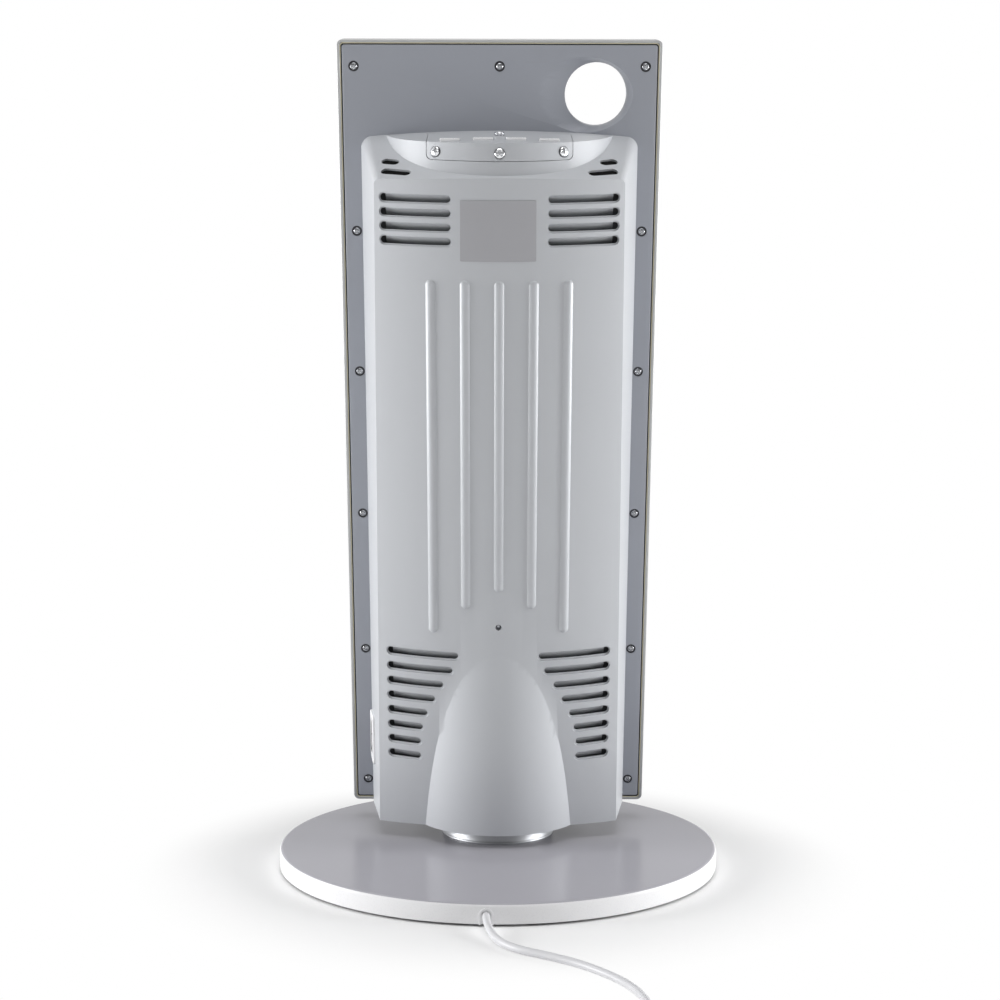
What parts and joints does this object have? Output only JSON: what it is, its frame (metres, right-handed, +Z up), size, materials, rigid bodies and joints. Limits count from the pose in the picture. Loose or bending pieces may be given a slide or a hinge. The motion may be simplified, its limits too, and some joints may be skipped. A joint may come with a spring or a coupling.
{
  "type": "carbon heater",
  "caption": "Free-standing radiant heater: a tall leaning panel with enclosed heating tubes and a vented rear cover, swinging on a round weighted base.",
  "frame": {"origin": "on the floor, under the centre of the round base", "axes": "+Z up; the front with the heating tubes faces +Y and the rear cover with the controls faces -Y; +X is on the right as seen from behind"},
  "size_m": [0.4025, 0.7545, 0.7183],
  "materials": {
    "light_plastic": "smooth light silver-grey moulding",
    "silver_plastic": "satin silver-grey moulding",
    "grey_plastic": "satin mid-grey moulding",
    "silver_paint": "satin silver paint",
    "dark_paint": "heat-proof dark paint",
    "black_gloss": "gloss black",
    "inner_black_plastic": "plain black moulding",
    "white_plastic": "smooth white moulding",
    "cream_rubber": "pale cream sealing strip",
    "black_rubber": "matte black rubber",
    "bright_chrome": "polished chrome",
    "zinc_steel": "zinc-plated steel",
    "ballast_steel": "unfinished cast plate",
    "bright_aluminium": "polished reflector sheet",
    "white_ceramic": "unglazed white ceramic",
    "quartz_glass": "clear quartz",
    "carbon": "woven carbon",
    "cord_sheath": "smooth light grey sheath",
    "pin_brass": "bare plug pins",
    "label_film": "blank silver film",
    "dark_lens": "dark smoked lens",
    "board_green": "green lacquered board"
  },
  "bodies": {
    "base": {"base_cover": "light_plastic", "base_plate": "inner_black_plastic", "base_screws": "zinc_steel", "rubber_feet": "black_rubber", "ballast_plate": "ballast_steel", "tip_switch_body": "inner_black_plastic", "cord_bushing": "light_plastic", "cord_clamp": "inner_black_plastic", "neck_ring": "bright_chrome", "neck_post": "zinc_steel", "neck_post_screws": "zinc_steel", "glide_washer": "white_plastic", "retaining_ring": "zinc_steel", "swing_track": "zinc_steel", "post_nut": "zinc_steel", "supply_lead": "cord_sheath", "power_cord": "cord_sheath", "power_cord_coil": "cord_sheath", "plug_body": "cord_sheath", "plug_pins": "pin_brass"},
    "tip_plunger": {"tip_plunger": "white_plastic"},
    "head": {"swivel_bracket": "zinc_steel", "swivel_bush": "white_plastic", "swing_motor": "zinc_steel", "motor_screws": "zinc_steel", "front_frame": "silver_paint", "front_fascia": "black_gloss", "panel_gasket": "cream_rubber", "back_plate": "grey_plastic", "back_plate_screws": "zinc_steel", "handle_trim": "bright_chrome", "guard_grille": "dark_paint", "reflector": "bright_aluminium", "reflector_ends": "bright_aluminium", "ceramic_caps": "white_ceramic", "quartz_tubes": "quartz_glass", "carbon_filaments": "carbon", "heat_shield": "zinc_steel", "thermal_cutout": "inner_black_plastic", "terminal_block": "white_plastic", "wiring_loom": "cord_sheath", "rear_cover": "silver_plastic", "rear_cover_screw": "zinc_steel", "rating_label": "label_film", "control_cover": "silver_plastic", "control_cover_screws": "bright_chrome", "indicator_bezel": "bright_chrome", "indicator_lens": "dark_lens", "control_board": "board_green", "key_switches": "inner_black_plastic", "board_screws": "zinc_steel", "power_switch_bezel": "white_plastic"},
    "crank": {"motor_crank": "white_plastic"},
    "button_1": {"button_1": "white_plastic"},
    "button_2": {"button_2": "white_plastic"},
    "button_3": {"button_3": "white_plastic"},
    "button_4": {"button_4": "white_plastic"},
    "rocker": {"power_rocker": "inner_black_plastic"}
  },
  "joints": [
    {"name": "head_swing", "type": "hinge", "parent": "base", "child": "head", "pos_m": [0, 0.035, 0.04], "axis": [0, 0, 1], "range_deg": [-30, 30]},
    {"name": "crank_turn", "type": "hinge", "parent": "head", "child": "crank", "pos_m": [0, 0.005, 0.069], "axis": [0, 0, 1], "range_deg": [-81, 81]},
    {"name": "tip_plunger_drop", "type": "slide", "parent": "base", "child": "tip_plunger", "axis": [0, 0, -1], "range_m": [0, 0.0035]},
    {"name": "button_1_press", "type": "slide", "parent": "head", "child": "button_1", "axis": [0, 0.225, -0.9744], "range_m": [0, 0.0012], "stiffness_N_per_m": 300},
    {"name": "button_2_press", "type": "slide", "parent": "head", "child": "button_2", "axis": [0, 0.225, -0.9744], "range_m": [0, 0.0012], "stiffness_N_per_m": 300},
    {"name": "button_3_press", "type": "slide", "parent": "head", "child": "button_3", "axis": [0, 0.225, -0.9744], "range_m": [0, 0.0012], "stiffness_N_per_m": 300},
    {"name": "button_4_press", "type": "slide", "parent": "head", "child": "button_4", "axis": [0, 0.225, -0.9744], "range_m": [0, 0.0012], "stiffness_N_per_m": 300},
    {"name": "rocker_tilt", "type": "hinge", "parent": "head", "child": "rocker", "pos_m": [-0.11482, 0.04602, 0.10372], "axis": [0.1666, -0.9607, -0.2218], "range_deg": [0, 12]}
  ],
  "couplings": [
    {"joint": "crank_turn", "follows": "head_swing", "ratio": -2.667}
  ]
}
